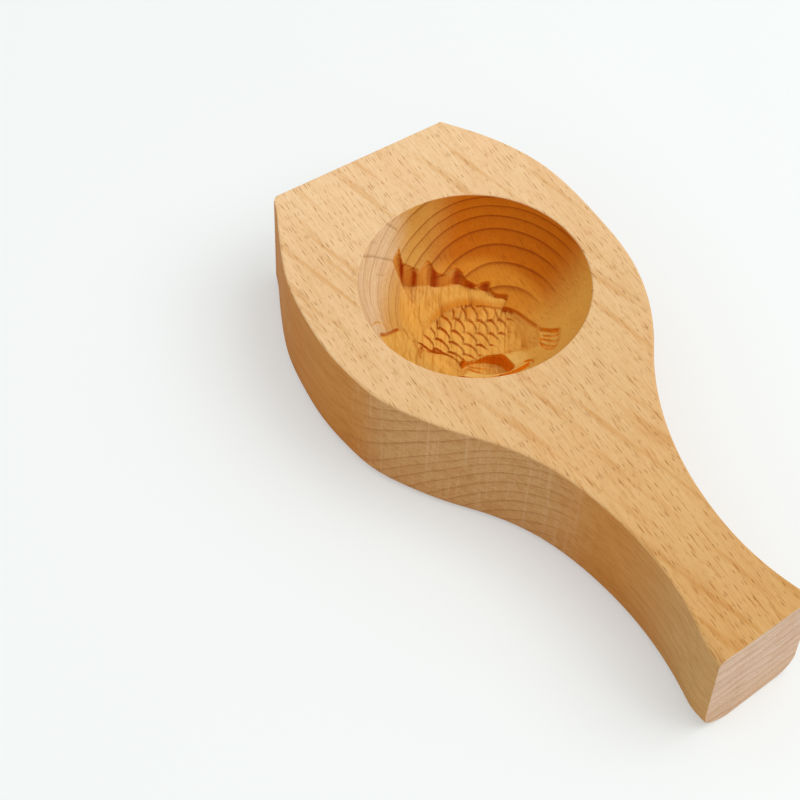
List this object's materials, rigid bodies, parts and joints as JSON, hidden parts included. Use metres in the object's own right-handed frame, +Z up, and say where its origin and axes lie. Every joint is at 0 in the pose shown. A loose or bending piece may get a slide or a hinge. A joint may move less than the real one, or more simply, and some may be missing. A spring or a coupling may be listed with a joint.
{
  "type": "wooden mooncake mould",
  "caption": "Hand mould of solid beech: a waisted handle runs into a rounded head with a bowl-shaped cavity carved with a carp, which presses dough into a domed cake.",
  "frame": {"origin": "middle of the underside's bounding box", "axes": "+X along the block from the flat head end to the handle end, +Y across it, +Z up, out of the open bowl"},
  "size_m": [0.2016, 0.1, 0.036],
  "materials": {
    "beech": "planed and sanded beech, no varnish, dull sheen; end grain pinker and greyer, carved bowl deeper orange"
  },
  "bodies": {
    "root": {"mould_block": "beech"}
  },
  "joints": []
}
